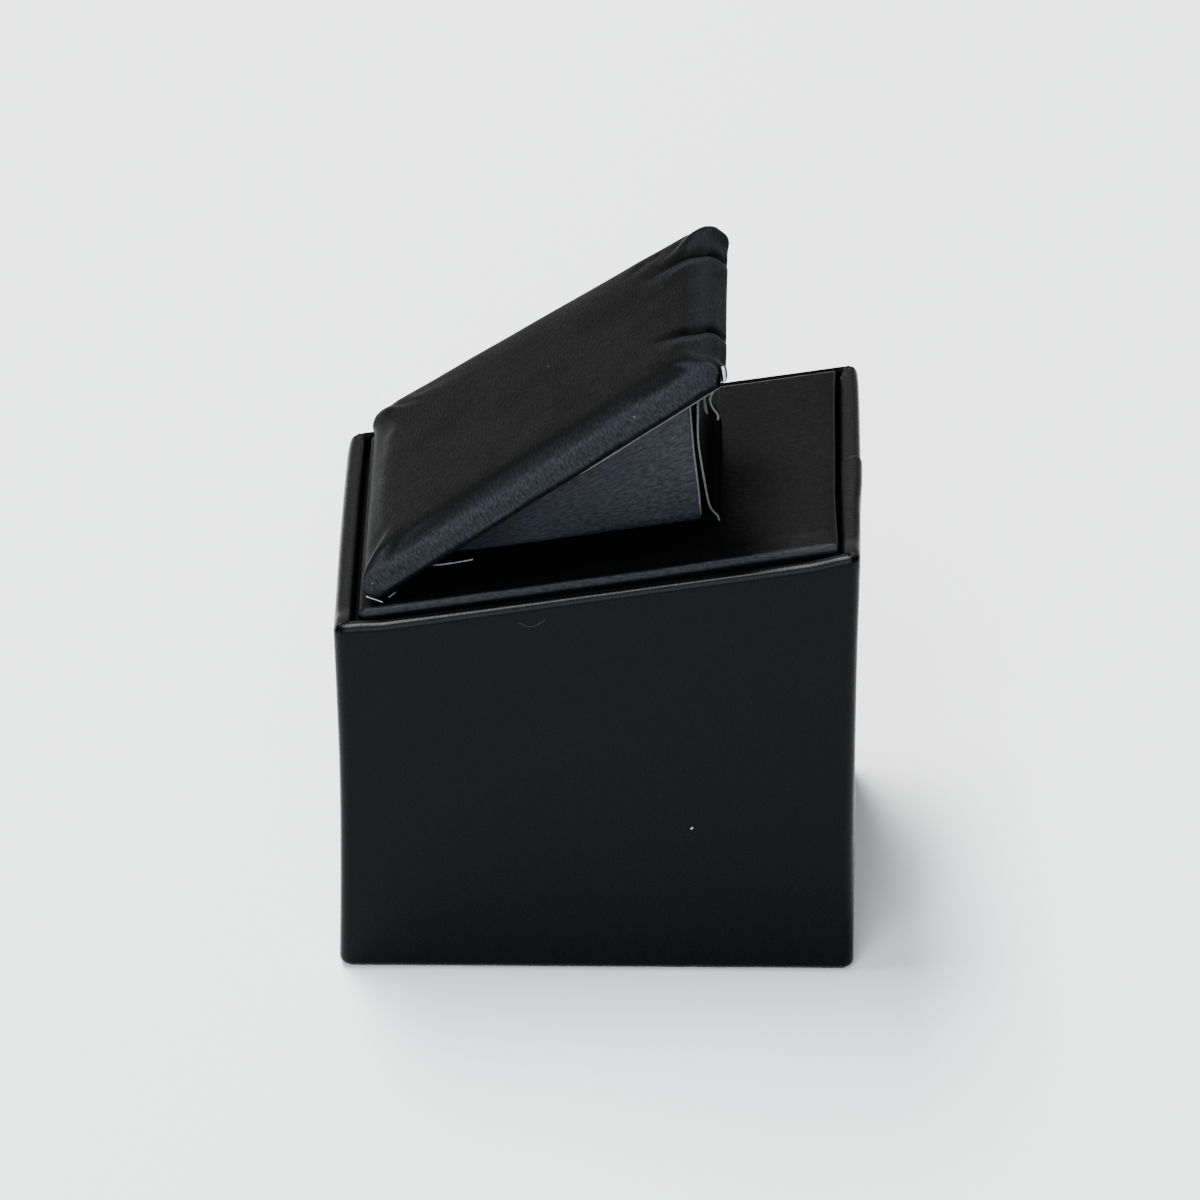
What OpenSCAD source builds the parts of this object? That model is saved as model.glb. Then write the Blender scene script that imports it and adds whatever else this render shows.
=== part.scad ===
// Counter-top jewelry display box: a hollow board box with a sloping, raised rim, and a
// lift-out padded insert that carries a ramp and a tilted display pad, all covered in leatherette.
// Millimetres. +Z is up, +Y is the high back, -Y the low front, and +X is the right-hand side.
// The origin is the middle of the footprint, on the surface that the box stands on.

/* [Body] */
// Depth of the body, from the low front to the high back
body_l = 63.5; // [56:0.5:80]
// Width of the body, from side to side
body_w = 49.8; // [47:0.1:64]
// Height of the rim at the front
front_h = 48.1; // [36:0.1:54]
// Height of the rim at the back
back_h = 58.6; // [54:0.1:72]
// Radius of the body's upright corners
corner_r = 1.6; // [0.6:0.1:2]

/* [Sheet stock] */
// Thickness of the leatherette
skin = 0.35; // [0.25:0.05:0.45]
// Thickness of the outer wall boards
wall_board = 1.2; // [1:0.1:1.6]
// Thickness of the collar boards that the insert rests on
collar_board = 2; // [1.6:0.1:2.4]
// Thickness of the base board
base_board_t = 2; // [1.5:0.1:3]
// Thickness of the sheet that covers the underside
cover_t = 0.35; // [0.3:0.05:0.6]
// How far the bottom sheet stops short of the body's edges
cover_inset = 1; // [0.5:0.1:3]
// Thickness of the felt on the floor of the storage space
felt_t = 0.6; // [0.4:0.1:1]

/* [Wrap] */
// How far the wrap turns down inside the rim
turn_down = 14; // [8:1:18]
// How far the wrap turns in under the base
turn_under = 9; // [6:1:14]
// Leg of the paper tape inside each corner
stay_leg = 8; // [5:1:12]
// Thickness of the corner tape
stay_t = 0.2; // [0.15:0.05:0.2]

/* [Insert] */
// Gap between the insert and the rim at each side
side_gap = 0.5; // [0.4:0.05:0.9]
// Gap between the insert and the rim at the front
front_gap = 0.85; // [0.4:0.05:1.2]
// Gap between the insert and the rim at the back
back_gap = 0.42; // [0.4:0.02:1.2]
// Overall thickness of the insert
insert_t = 3.5; // [3.2:0.1:4.5]
// Height of the insert's top above the rim
insert_proud = 0.9; // [0:0.05:1.4]
// Thickness of the insert's board
insert_board_t = 2; // [1.5:0.1:2.2]
// Radius of the insert's padded edges
insert_r = 1.1; // [0.8:0.1:1.4]
// Clearance under the insert where it rests on the collar
rest_gap = 0.08; // [0.05:0.01:0.15]
// Thickness of the paper on the insert's underside
paper_t = 0.2; // [0.15:0.05:0.3]

/* [Ramp] */
// Width of the ramp, with its covering
ramp_w = 22.4; // [18:0.2:28]
// Place of the ramp's foot at the back, from the middle of the body
ramp_back = 12.7; // [10:0.1:13]
// Place of the ramp's blunt front end, from the middle of the body
ramp_front = -20.6; // [-20.6:0.1:-16]
// How far the ramp's back leans forward between its foot and its top
ramp_lean = 1.7; // [0.5:0.1:2.5]
// Width of the strap behind the ramp
strap_w = 24.6; // [20:0.2:26]
// Thickness of the strap
strap_t = 0.45; // [0.35:0.05:0.5]
// Distance between the ramp's back and the strap
strap_gap = 0.8; // [0.5:0.1:1]

/* [Display pad] */
// Tilt of the pad from level, in degrees
pad_tilt = 34.5; // [33:0.1:36]
// Length of the pad along its slope
pad_l = 52.4; // [46:0.1:53]
// Width of the pad at its low end
pad_low_w = 41.4; // [38:0.1:46]
// Width of the pad at its high end
pad_high_w = 36.4; // [31:0.1:38]
// Thickness of the pad over its padded middle
pad_t = 5; // [4.8:0.1:6]
// Radius of the pad's padded edges
pad_r = 2.3; // [1.8:0.1:2.4]
// Thickness of the pad's board
pad_board_t = 1.5; // [1.2:0.1:2]
// Distance of the pad's low underside edge from the middle of the body
pad_low = -26.8; // [-27.2:0.1:-26]
// Height of that edge above the insert's top
pad_lift = -0.6; // [-0.6:0.05:0]
// Thickness of the sheet on the pad's underside
backing_t = 0.4; // [0.3:0.05:0.5]
// How far that sheet stops short of the pad's edges
backing_inset = 2.2; // [1.8:0.1:4]

/* [Hidden] */
$fn = 48;

// Colours of the coverings and of the stock beneath them
leatherette = [0.045, 0.045, 0.05];
greyboard = [0.47, 0.44, 0.40];
black_card = [0.07, 0.07, 0.07];
kraft_tape = [0.62, 0.5, 0.36];
felt_black = [0.06, 0.06, 0.065];
foam_grey = [0.3, 0.3, 0.31];
wood_tan = [0.72, 0.58, 0.42];

// Slope of the rim
rim_rise = (back_h - front_h) / body_l;
rim_tilt = atan(rim_rise);
plenty = 200;

// Thickness of the glue between the pad's backing and what is fixed to it
glue_line = 0.03;

// Levels and half sizes of the body's layers, from the outside in
wrap_z = cover_t;
board_z = cover_t + skin;
floor_z = board_z + base_board_t;
board_in = skin;
wall_in = skin + wall_board;
lining_in = wall_in + skin;
store_in = lining_in + collar_board;
mid_h = (front_h + back_h) / 2;

// The insert in its own tilted frame: its underside is z = 0
insert_w = body_w - 2 * (lining_in + side_gap);
insert_y0 = -body_l / 2 + lining_in + front_gap;
insert_y1 = body_l / 2 - lining_in - back_gap;
insert_l = (insert_y1 - insert_y0) / cos(rim_tilt);
insert_drop = insert_t / cos(rim_tilt) - insert_proud;
// The paper stays clear of the ledge that the insert rests on
backing_margin = collar_board + 0.5;

// Heights on the slopes of the rim, the insert and the pad's underside, at a place y
function rim_z(y) = mid_h + rim_rise * y;
function insert_top_z(y) = rim_z(y) + insert_proud;
pad_foot_z = insert_top_z(pad_low) + pad_lift;
function pad_under_z(y) = pad_foot_z + tan(pad_tilt) * (y - pad_low);
function backing_z(y) = pad_under_z(y) - (backing_t + glue_line) / cos(pad_tilt);

// Outline of a strip of even thickness along a path of points, thickness on its left side
function unit(v) = v / norm(v);
function left_of(v) = [-v[1], v[0]];
function way(path, i) =
    unit(path[min(i + 1, len(path) - 1)] - path[max(i - 1, 0)]);
function strip(path, t) = concat(
    path,
    [for (i = [len(path) - 1:-1:0]) path[i] + t * left_of(way(path, i))]
);

// A plan outline with round corners, inset from the body's outside
module plan(inset) {
    r = max(corner_r - inset, 0.05);
    w = body_w - 2 * inset;
    l = body_l - 2 * inset;
    square([w - 2 * r, l], center = true);
    square([w, l - 2 * r], center = true);
    for (x = [-1, 1], y = [-1, 1])
        translate([x * (w / 2 - r), y * (l / 2 - r)])
            circle(r);
}

// Everything below the rim's slope, lowered by drop
module below_rim(drop) {
    outline = [
        [-plenty, -plenty],
        [plenty, -plenty],
        [plenty, rim_z(plenty) - drop],
        [-plenty, rim_z(-plenty) - drop]
    ];
    across()
        linear_extrude(height = 2 * plenty, center = true)
            polygon(outline);
}

// Turns a [y, z] outline drawn flat into a profile that runs across the body
module across() {
    multmatrix([[0, 0, 1, 0], [1, 0, 0, 0], [0, 1, 0, 0], [0, 0, 0, 1]])
        children();
}

// A block between two corners, cut off at the rim's slope lowered by drop
module panel(low, high, drop) {
    intersection() {
        translate([low[0], low[1], low[2]])
            cube([high[0] - low[0], high[1] - low[1], plenty]);
        below_rim(drop);
    }
}

// The four panels of a ring of boards: the sides run full length, the ends fit between them
module ring_side(side, inset, board, z, drop) {
    x_out = body_w / 2 - inset;
    x_low = side > 0 ? x_out - board : -x_out;
    panel(
        [x_low, -body_l / 2 + inset, z],
        [x_low + board, body_l / 2 - inset],
        drop
    );
}

module ring_end(end, inset, board, z, drop) {
    y_out = body_l / 2 - inset;
    y_low = end > 0 ? y_out - board : -y_out;
    x_in = body_w / 2 - inset - board;
    panel([-x_in, y_low, z], [x_in, y_low + board], drop);
}

// ---- the box ----

module bottom_cover() {
    color(black_card)
        linear_extrude(height = cover_t)
            plan(cover_inset);
}

module outer_wrap() {
    color(leatherette) {
        difference() {
            intersection() {
                translate([0, 0, wrap_z])
                    linear_extrude(height = plenty)
                        plan(0);
                below_rim(0);
            }
            // the room for the wall boards
            intersection() {
                translate([0, 0, board_z])
                    linear_extrude(height = plenty)
                        plan(board_in);
                below_rim(skin / cos(rim_tilt));
            }
            // the mouth inside the rim
            linear_extrude(height = plenty)
                square([body_w - 2 * lining_in, body_l - 2 * lining_in], center = true);
            // the underside, left open inside the turned edge
            linear_extrude(height = board_z + skin)
                square([body_w - 2 * turn_under, body_l - 2 * turn_under], center = true);
        }
        turned_lining();
    }
}

// The wrap's edge where it turns down inside the walls
module turned_lining() {
    difference() {
        intersection() {
            linear_extrude(height = plenty)
                square([body_w - 2 * wall_in, body_l - 2 * wall_in], center = true);
            below_rim(0);
        }
        linear_extrude(height = plenty)
            square([body_w - 2 * lining_in, body_l - 2 * lining_in], center = true);
        below_rim(turn_down);
    }
}

module base_board() {
    color(greyboard)
        translate([0, 0, board_z + base_board_t / 2])
            cube([body_w - 2 * wall_in, body_l - 2 * wall_in, base_board_t], center = true);
}

module front_wall() {
    color(greyboard)
        ring_end(-1, board_in, wall_board, board_z, skin / cos(rim_tilt));
}

module back_wall() {
    color(greyboard)
        ring_end(1, board_in, wall_board, board_z, skin / cos(rim_tilt));
}

// The side boards lose their corners where the wrap's corners are round
module side_wall(side) {
    intersection() {
        ring_side(side, board_in, wall_board, board_z, skin / cos(rim_tilt));
        linear_extrude(height = plenty)
            plan(board_in);
    }
}

module left_wall() {
    color(greyboard)
        side_wall(-1);
}

module right_wall() {
    color(greyboard)
        side_wall(1);
}

// Folded paper tape that holds the wall boards together inside each corner
module corner_stays() {
    color(kraft_tape)
        for (x = [-1, 1], y = [-1, 1])
            to_corner(x, y)
                corner_stay(y);
}

// Copies a shape drawn in the +X +Y corner to another corner
module to_corner(x, y) {
    mirror([x < 0 ? 1 : 0, 0, 0])
        mirror([0, y < 0 ? 1 : 0, 0])
            children();
}

module corner_stay(y) {
    x_out = body_w / 2 - wall_in;
    y_out = body_l / 2 - wall_in;
    stay_h = rim_z(y * y_out) - turn_down - floor_z - 2;
    translate([x_out - stay_leg, y_out - stay_t, floor_z])
        cube([stay_leg, stay_t, stay_h]);
    translate([x_out - stay_t, y_out - stay_leg, floor_z])
        cube([stay_t, stay_leg, stay_h]);
}

// The collar's boards stop at the ledge that the insert rests on
module front_collar() {
    color(black_card)
        ring_end(-1, lining_in, collar_board, floor_z, insert_drop + rest_gap);
}

module back_collar() {
    color(black_card)
        ring_end(1, lining_in, collar_board, floor_z, insert_drop + rest_gap);
}

module left_collar() {
    color(black_card)
        ring_side(-1, lining_in, collar_board, floor_z, insert_drop + rest_gap);
}

module right_collar() {
    color(black_card)
        ring_side(1, lining_in, collar_board, floor_z, insert_drop + rest_gap);
}

module floor_felt() {
    color(felt_black)
        translate([0, 0, floor_z + felt_t / 2])
            cube([body_w - 2 * store_in, body_l - 2 * store_in, felt_t], center = true);
}

// ---- the insert ----

// Places a shape drawn in the insert's own frame
module on_insert() {
    translate([0, insert_y0, rim_z(insert_y0) - insert_drop])
        rotate([rim_tilt, 0, 0])
            children();
}

// A rectangle with round corners, from the origin
module round_rect(w, h, r) {
    translate([r, 0])
        square([w - 2 * r, h]);
    translate([0, r])
        square([w, h - 2 * r]);
    for (x = [r, w - r], y = [r, h - r])
        translate([x, y])
            circle(r);
}

// One long side of a padded block, at x = 0, with the block reaching towards -X
module padded_side(t, r, inset) {
    reach = 2 * body_w;
    rotate([90, 0, 0])
        linear_extrude(height = plenty, center = true)
            translate([-reach, inset])
                round_rect(reach - inset, t - 2 * inset, r - inset);
}

// A flat padded block with round edges, less an inset all round. It stands on z = 0, starts at
// y = 0, and its width changes evenly from its low end to its high end.
module padded_block(low_w, high_w, l, t, r, inset) {
    taper = atan((low_w - high_w) / 2 / l);
    intersection() {
        across()
            linear_extrude(height = plenty, center = true)
                translate([inset, inset])
                    round_rect(l - 2 * inset, t - 2 * inset, r - inset);
        translate([low_w / 2, 0, 0])
            rotate([0, 0, taper])
                padded_side(t, r, inset);
        mirror([1, 0, 0])
            translate([low_w / 2, 0, 0])
                rotate([0, 0, taper])
                    padded_side(t, r, inset);
    }
}

// The insert's padded shape, less an inset all round
module insert_block(inset) {
    padded_block(insert_w, insert_w, insert_l, insert_t, insert_r, inset);
}

// The insert's plan, less an inset all round
module insert_plan(inset) {
    translate([-insert_w / 2 + inset, inset])
        square([insert_w - 2 * inset, insert_l - 2 * inset]);
}

module insert_board_block() {
    translate([0, 0, skin])
        linear_extrude(height = insert_board_t)
            insert_plan(insert_r);
}

module insert_board() {
    color(greyboard)
        on_insert()
            insert_board_block();
}

// The foam lies on the board and wraps round its edges
module insert_foam() {
    color(foam_grey)
        on_insert()
            difference() {
                insert_block(skin);
                translate([0, 0, -1])
                    linear_extrude(height = 1 + skin + insert_board_t)
                        insert_plan(insert_r);
            }
}

module insert_wrap() {
    color(leatherette)
        on_insert()
            difference() {
                insert_block(0);
                insert_block(skin);
                translate([0, 0, -1])
                    linear_extrude(height = 2)
                        insert_plan(turn_under);
            }
}

module insert_backing() {
    color(black_card)
        on_insert()
            translate([0, 0, -paper_t])
                linear_extrude(height = paper_t)
                    insert_plan(backing_margin);
}

// ---- the ramp ----

// Side outline of the ramp, with its covering, less an inset all round
module ramp_outline(inset) {
    y0 = ramp_front + inset;
    y1 = ramp_back - inset;
    top = inset / cos(pad_tilt);
    foot = inset / cos(rim_tilt);
    y2 = y1 - ramp_lean;
    polygon([
        [y0, insert_top_z(y0) + foot],
        [y1, insert_top_z(y1) + foot],
        [y2, backing_z(y2) - top],
        [y0, backing_z(y0) - top]
    ]);
}

module ramp_core() {
    color(wood_tan)
        across()
            linear_extrude(height = ramp_w - 2 * skin, center = true)
                ramp_outline(skin);
}

module ramp_wrap() {
    color(leatherette)
        across()
            difference() {
                linear_extrude(height = ramp_w, center = true)
                    ramp_outline(0);
                linear_extrude(height = ramp_w - 2 * skin, center = true)
                    ramp_outline(skin);
            }
}

// The strap stands behind the ramp on a flared foot, turns along the pad's underside
// and ends in a short curl that hangs free
module ramp_strap() {
    y_foot = ramp_back + strap_gap;
    y_toe = y_foot + 1.3;
    y_top = y_foot - ramp_lean;
    y_end = y_top + 2.2;
    path = [
        [y_toe, insert_top_z(y_toe) + glue_line],
        [y_foot + 0.15, insert_top_z(y_foot) + 1.7],
        [y_foot - 0.1, insert_top_z(y_foot) + 3.2],
        [y_top, backing_z(y_top) - 1.2],
        [y_top + 0.3, backing_z(y_top + 0.3) - 0.2],
        [y_top + 1, backing_z(y_top + 1)],
        [y_end - 0.5, backing_z(y_end - 0.5)],
        [y_end, backing_z(y_end) - 0.9],
        [y_end + 0.2, backing_z(y_end) - 3.4]
    ];
    color(leatherette)
        across()
            linear_extrude(height = strap_w, center = true)
                polygon(strip(path, -strap_t));
}

// ---- the display pad ----

// Places a shape drawn in the pad's own frame: y runs up its slope, z = 0 is its underside
module on_pad() {
    translate([0, pad_low, pad_foot_z])
        rotate([pad_tilt, 0, 0])
            children();
}

// The pad's plan, a trapezoid that narrows up the slope, less an inset all round
module pad_plan(inset) {
    low = pad_low_w / 2 - inset;
    high = pad_high_w / 2 - inset;
    polygon([[-low, inset], [low, inset], [high, pad_l - inset], [-high, pad_l - inset]]);
}

// The pad's padded shape, less an inset all round
module pad_block(inset) {
    padded_block(pad_low_w, pad_high_w, pad_l, pad_t, pad_r, inset);
}

module pad_board() {
    color(greyboard)
        on_pad()
            translate([0, 0, skin])
                linear_extrude(height = pad_board_t)
                    pad_plan(pad_r);
}

module pad_foam() {
    color(foam_grey)
        on_pad()
            difference() {
                pad_block(skin);
                translate([0, 0, -1])
                    linear_extrude(height = 1 + skin + pad_board_t)
                        pad_plan(pad_r);
            }
}

module pad_wrap() {
    color(leatherette)
        on_pad()
            difference() {
                pad_block(0);
                pad_block(skin);
                translate([0, 0, -1])
                    linear_extrude(height = 2)
                        pad_plan(turn_under);
            }
}

module pad_backing() {
    color(black_card)
        on_pad()
            translate([0, 0, -backing_t])
                linear_extrude(height = backing_t)
                    pad_plan(backing_inset);
}

bottom_cover();
outer_wrap();
base_board();
front_wall();
back_wall();
left_wall();
right_wall();
corner_stays();
front_collar();
back_collar();
left_collar();
right_collar();
floor_felt();
insert_board();
insert_foam();
insert_wrap();
insert_backing();
ramp_core();
ramp_wrap();
ramp_strap();
pad_board();
pad_foam();
pad_wrap();
pad_backing();
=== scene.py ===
from math import atan, atan2, copysign, cos, pi, radians, sin, tan

import bmesh
import bpy
import numpy as np
from mathutils import Matrix, Vector, noise


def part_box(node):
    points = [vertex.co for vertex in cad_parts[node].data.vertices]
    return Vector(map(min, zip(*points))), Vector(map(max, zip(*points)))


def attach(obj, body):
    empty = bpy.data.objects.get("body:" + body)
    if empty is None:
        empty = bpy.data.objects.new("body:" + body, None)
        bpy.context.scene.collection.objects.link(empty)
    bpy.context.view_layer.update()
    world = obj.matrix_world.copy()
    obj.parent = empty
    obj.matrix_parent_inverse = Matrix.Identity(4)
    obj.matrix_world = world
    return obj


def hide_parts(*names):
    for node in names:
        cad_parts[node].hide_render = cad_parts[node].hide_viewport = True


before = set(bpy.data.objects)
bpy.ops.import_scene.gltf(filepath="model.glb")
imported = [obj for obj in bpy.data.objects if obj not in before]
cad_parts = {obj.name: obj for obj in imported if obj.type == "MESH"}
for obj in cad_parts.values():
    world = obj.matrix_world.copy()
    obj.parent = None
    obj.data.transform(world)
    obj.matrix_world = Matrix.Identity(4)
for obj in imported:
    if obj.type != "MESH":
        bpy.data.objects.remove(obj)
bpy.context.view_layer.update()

MM = 0.001


# -------- measures of the frame


def points_of(node):
    """A CAD node's corner points as an array, in metres."""
    return np.array([v.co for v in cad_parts[node].data.vertices], float)


def tilted(points, tilt):
    """Points of the row frame in a frame that is turned up by tilt about X: across, along, up."""
    c, s = cos(tilt), sin(tilt)
    x, y, z = np.asarray(points, float).T
    return np.stack([x, y * c + z * s, z * c - y * s], axis=1)


def untilted(points, tilt):
    """The reverse of tilted."""
    return tilted(points, -tilt)


def tilt_of(node):
    """How far a flat CAD plate is turned up about X."""
    p = points_of(node)
    normal = np.linalg.svd(p - p.mean(0))[2][2]
    normal = normal if normal[2] > 0 else -normal
    return atan2(-normal[1], normal[2])


WRAP_LOW, WRAP_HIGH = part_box("outer_wrap")
HALF_W, HALF_L = WRAP_HIGH.x, WRAP_HIGH.y
BOTTOM, RIM_HIGH = WRAP_LOW.z, WRAP_HIGH.z
RIM_LOW = max(p[2] for p in points_of("outer_wrap") if p[1] < -HALF_L + 0.01 * MM)
RIM_RISE = (RIM_HIGH - RIM_LOW) / (2 * HALF_L)
RIM_TILT = atan(RIM_RISE)
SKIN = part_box("front_wall")[0].y + HALF_L
RIM_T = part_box("front_collar")[0].y + HALF_L
PAD_TILT = tilt_of("pad_backing")


def rim_z(y):
    """Height of the rim's plane at a place along the body."""
    return (RIM_LOW + RIM_HIGH) / 2 + RIM_RISE * y


# -------- mesh helpers


def piece(name, verts, faces, *materials):
    """A smooth mesh object from points in the row frame."""
    mesh = bpy.data.meshes.new(name)
    mesh.from_pydata([tuple(v) for v in verts], [], faces)
    mesh.validate()
    mesh.update()
    mesh.polygons.foreach_set("use_smooth", [True] * len(mesh.polygons))
    obj = bpy.data.objects.new(name, mesh)
    bpy.context.scene.collection.objects.link(obj)
    for material in materials:
        mesh.materials.append(material)
    return outward(obj)


def outward(obj):
    """Turns a closed piece's faces to look outwards."""
    bm = bmesh.new()
    bm.from_mesh(obj.data)
    bmesh.ops.recalc_face_normals(bm, faces=bm.faces)
    bm.to_mesh(obj.data)
    bm.free()
    return obj


def loop_faces(rings, count, closed):
    """Quads between rings of count points each; closed joins the last ring to the first."""
    faces = []
    for i in range(rings if closed else rings - 1):
        n = (i + 1) % rings
        for j in range(count):
            k = (j + 1) % count
            faces.append((i * count + j, i * count + k, n * count + k, n * count + j))
    return faces


def capped_tube(rings):
    """Points and faces of a stack of closed rings, with its two ends closed."""
    count = len(rings[0])
    faces = loop_faces(len(rings), count, closed=False)
    last = (len(rings) - 1) * count
    faces.append(tuple(range(count))[::-1])
    faces.append(tuple(range(last, last + count)))
    return [p for ring in rings for p in ring], faces


def ringed(name, rings, turn, *materials, ends=True):
    """A piece made of closed rings of points, with its grain laid. Its ends are closed, or
    else its last ring joins its first."""
    verts, faces = capped_tube(rings)
    if not ends:
        faces = loop_faces(len(rings), len(rings[0]), closed=True)
    obj = piece(name, verts, faces, *materials)
    lay_rings(obj, rings, turn)
    return obj


def arc(centre, radius, start, end, steps):
    """Points on an arc, angles in degrees."""
    angles = np.radians(np.linspace(start, end, steps))
    return [(centre[0] + radius * cos(a), centre[1] + radius * sin(a)) for a in angles]


def rounded_plan(half_x, half_y, r, steps, extra=()):
    """Places round a plan with round corners: (x, y, distance from the nearest corner, angle
    across it). half_x and half_y are the centres of its corners, steps are how many its
    corners, its X sides and its Y sides have, and extra places are added to the +Y side."""
    ring = []
    for k, (sx, sy) in enumerate(((1, 1), (-1, 1), (-1, -1), (1, -1))):
        for i in range(steps[0] + 1):
            a = 90 * (k + i / steps[0])
            x, y = sx * half_x + r * cos(radians(a)), sy * half_y + r * sin(radians(a))
            ring.append((x, y, 0.0, abs(a - 90 * k - 45)))
        half, count = (half_x, steps[1]) if k % 2 == 0 else (half_y, steps[2])
        places = [half * (1 - 2 * i / count) for i in range(1, count)]
        if k == 0:
            places = sorted(places + list(extra), reverse=True)
        for t in places:
            x, y = ((t, half_y + r), (-half_x - r, t), (-t, -half_y - r), (half_x + r, -t))[k]
            ring.append((x, y, half - abs(t), 90.0))
    return ring


def bump(x, width):
    """1 at x = 0, falling smoothly to 0 at plus or minus width."""
    t = min(abs(x) / width, 1.0)
    return (1 - t * t) ** 2


def ramp_up(x, low, high):
    """0 below low, 1 above high, and smooth between."""
    t = min(max((x - low) / (high - low), 0.0), 1.0)
    return t * t * (3 - 2 * t)


def wander(p, size, seed):
    """A smooth random value from about -1 to 1 at a point, which changes over that size."""
    return noise.noise(Vector(p) / size + Vector((seed, -seed, 2 * seed)))


def axis_steps(size, r, spacing, corner_steps=5):
    """Places along one side of a block, closer together over its round corners."""
    inner = size / 2 - r
    shares = [i / corner_steps for i in range(1, corner_steps + 1)]
    corner = [inner + r * tan(radians(45 * share)) for share in shares]
    middle = np.linspace(-inner, inner, max(2, round(2 * inner / spacing)) + 1)
    return [-c for c in corner[::-1]] + list(middle) + corner


def round_block(low_w, high_w, length, height, r, spacing):
    """A block with round edges whose width changes evenly along it, standing on up = 0 and
    starting at along = 0. Returns points (across, along, up) and faces."""
    sizes = (max(low_w, high_w), length, height)
    axes = [axis_steps(s, r, spacing) for s in sizes]
    last = [len(a) - 1 for a in axes]
    index, points, faces = {}, [], []

    def vertex(ijk):
        """The number of the point at a place in the grid, which it makes when first met."""
        if ijk not in index:
            p = np.array([axes[n][ijk[n]] for n in range(3)])
            inner = np.array(sizes) / 2 - r
            q = np.clip(p, -inner, inner)
            d = (p - q) / np.linalg.norm(p - q)
            share = q[1] / length + 0.5
            width = low_w + (high_w - low_w) * share
            q[0] *= (width / 2 - r) / inner[0]
            index[ijk] = len(points)
            points.append(q + r * d + np.array([0, length / 2, height / 2]))
        return index[ijk]

    for n in range(3):
        a, b = [m for m in range(3) if m != n]
        for end in (0, last[n]):
            for i in range(last[a]):
                for j in range(last[b]):
                    corners = []
                    for di, dj in ((0, 0), (1, 0), (1, 1), (0, 1)):
                        ijk = [0, 0, 0]
                        ijk[n], ijk[a], ijk[b] = end, i + di, j + dj
                        corners.append(vertex(tuple(ijk)))
                    faces.append(corners)
    return np.array(points), faces


# A face at least this level carries the grain flat; on the others it runs on down
LEVEL = 0.985


def lay_grain(obj, tilt, turn, centre=0.0):
    """Lays the grain's coordinates on a padded piece, in metres. On level faces the dashes run
    across the piece, or along it if turn is true, and the grain runs on down over the edges."""
    mesh = obj.data
    layer = mesh.uv_layers.new(name="grain")
    local = tilted([v.co for v in mesh.vertices], tilt)
    normals = tilted([p.normal for p in mesh.polygons], tilt)
    top = local[:, 2].max()
    flat = np.zeros((len(mesh.loops), 2))
    for polygon, normal in zip(mesh.polygons, normals):
        level = abs(normal[2]) > LEVEL
        share = normal[0] ** 2 / max(normal[0] ** 2 + normal[1] ** 2, 1e-9)
        for i in polygon.loop_indices:
            x, along, up = local[mesh.loops[i].vertex_index]
            if not level:
                x += copysign(share * (top - up), x)
                along += copysign((1 - share) * (top - up), along - centre)
            flat[i] = (along, x) if turn else (x, along)
    layer.data.foreach_set("uv", flat.ravel())


def normals_of(obj, tilt):
    """Each point's normal, in the frame that is turned up by tilt."""
    return tilted([v.normal for v in obj.data.vertices], tilt)


def lay_shares(obj, name, shares):
    """Lays a named share from 0 to 1 on each point, as for the painted highlight and painted shade."""
    layer = obj.data.attributes.new(name, "FLOAT", "POINT")
    layer.data.foreach_set("value", shares)


def lay_rings(obj, rings, turn):
    """Lays the grain's coordinates on a piece that is made of closed rings of equally many
    points, in metres. The dashes run round the rings, or from ring to ring if turn is true."""
    rings = np.array(rings)
    count = rings.shape[1]
    steps = np.linalg.norm(np.roll(rings, -1, axis=1) - rings, axis=2).mean(0)
    around = np.concatenate([[0], np.cumsum(steps)])
    rise = np.linalg.norm(rings - np.roll(rings, 1, axis=0), axis=2).mean(1)
    up = np.concatenate([np.cumsum(rise) - rise[0], [rise.sum()]])
    mesh = obj.data
    layer = mesh.uv_layers.new(name="grain")
    flat = np.zeros((len(mesh.loops), 2))
    for polygon in mesh.polygons:
        where = [divmod(mesh.loops[i].vertex_index, count) for i in polygon.loop_indices]
        join_around = {0, count - 1} <= {w[1] for w in where}
        join_up = {0, len(rings) - 1} <= {w[0] for w in where}
        for i, (ring, place) in zip(polygon.loop_indices, where):
            v = around[count if join_around and place == 0 else place]
            u = up[len(rings) if join_up and ring == 0 else ring]
            flat[i] = (u, v) if turn else (v, u)
    layer.data.foreach_set("uv", flat.ravel())


# -------- materials

# The leatherette's grain: length and width of its dashes, size of its pores and of its patches
DASH, PITCH, PORE, PATCH = 1.0 * MM, 0.24 * MM, 0.16 * MM, 9 * MM
PATCH_DEPTH = 0.05 * MM
# How dark the painted highlight's streaks are against its tone, and painted shade against the dark tone
HIGHLIT_STREAK_DARK, PAINTED_SHADE_DARK = 0.35, 0.15
# Dust: distance between specks, share of them that show, edge of a speck (as a share) and colour
DUST_GAP, DUST_SHARE, DUST_EDGE, DUST = 3.0 * MM, 0.5, (0.025, 0.05), (0.075, 0.075, 0.072)


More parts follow.
